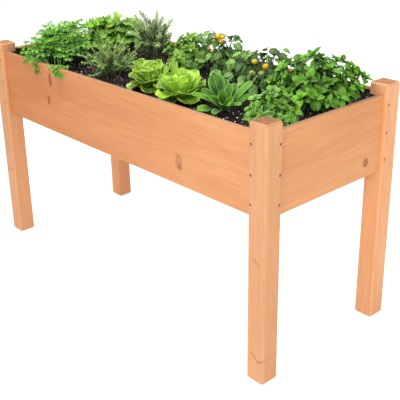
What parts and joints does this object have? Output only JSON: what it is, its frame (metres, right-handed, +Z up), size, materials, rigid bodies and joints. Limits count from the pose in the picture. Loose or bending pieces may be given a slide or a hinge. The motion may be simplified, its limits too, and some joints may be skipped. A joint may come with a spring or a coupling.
{
  "type": "raised planter on legs",
  "caption": "Wooden trough planter raised on square grooved posts, with slatted floor, cloth liner, potting soil and a planting of herbs, lettuces and tomatoes.",
  "frame": {"origin": "on the ground under the middle of the trough", "axes": "+X along the trough's length, +Y from the front board to the back board, +Z up"},
  "size_m": [1.372, 0.559, 0.8735],
  "materials": {
    "basil_leaf": "satin",
    "board_wood": "satin",
    "butterhead_lettuce_leaf": "satin",
    "coriander_leaf": "satin",
    "floor_wood": "matte",
    "liner_cloth": "matte",
    "mint_leaf": "satin",
    "oregano_leaf": "satin",
    "parsley_leaf": "satin",
    "post_wood": "satin",
    "potting_soil": "matte",
    "rosemary_leaf": "matte",
    "screw_steel": "satin",
    "spinach_leaf": "satin",
    "thyme_leaf": "matte",
    "tomato_leaf": "matte"
  },
  "bodies": {
    "root": {"back_board": "board_wood", "back_floor_cleat": "floor_wood", "back_left_post": "post_wood", "back_left_post_end_board_screw_1": "screw_steel", "back_left_post_end_board_screw_2": "screw_steel", "back_left_post_end_board_screw_3": "screw_steel", "back_left_post_long_board_screw_1": "screw_steel", "back_left_post_long_board_screw_2": "screw_steel", "back_left_post_long_board_screw_3": "screw_steel", "back_right_post": "post_wood", "back_right_post_end_board_screw_1": "screw_steel", "back_right_post_end_board_screw_2": "screw_steel", "back_right_post_end_board_screw_3": "screw_steel", "back_right_post_long_board_screw_1": "screw_steel", "back_right_post_long_board_screw_2": "screw_steel", "back_right_post_long_board_screw_3": "screw_steel", "basil_plant": "basil_leaf", "butterhead_lettuce_left": "butterhead_lettuce_leaf", "butterhead_lettuce_right": "butterhead_lettuce_leaf", "cloth_liner": "liner_cloth", "coriander_plant": "coriander_leaf", "floor_slat_1": "floor_wood", "floor_slat_2": "floor_wood", "floor_slat_3": "floor_wood", "floor_slat_4": "floor_wood", "floor_slat_5": "floor_wood", "floor_slat_6": "floor_wood", "floor_slat_7": "floor_wood", "floor_slat_8": "floor_wood", "front_board": "board_wood", "front_floor_cleat": "floor_wood", "front_left_post": "post_wood", "front_left_post_end_board_screw_1": "screw_steel", "front_left_post_end_board_screw_2": "screw_steel", "front_left_post_end_board_screw_3": "screw_steel", "front_left_post_long_board_screw_1": "screw_steel", "front_left_post_long_board_screw_2": "screw_steel", "front_left_post_long_board_screw_3": "screw_steel", "front_right_post": "post_wood", "front_right_post_end_board_screw_1": "screw_steel", "front_right_post_end_board_screw_2": "screw_steel", "front_right_post_end_board_screw_3": "screw_steel", "front_right_post_long_board_screw_1": "screw_steel", "front_right_post_long_board_screw_2": "screw_steel", "front_right_post_long_board_screw_3": "screw_steel", "left_end_board": "board_wood", "left_end_slat": "floor_wood", "left_floor_cleat": "floor_wood", "mint_plant": "mint_leaf", "oregano_plant": "oregano_leaf", "parsley_plant": "parsley_leaf", "potting_soil": "potting_soil", "right_end_board": "board_wood", "right_end_slat": "floor_wood", "right_floor_cleat": "floor_wood", "rosemary_plant": "rosemary_leaf", "spinach_plant": "spinach_leaf", "thyme_plant": "thyme_leaf", "tomato_plant_left": "tomato_leaf", "tomato_plant_right": "tomato_leaf"}
  },
  "joints": []
}
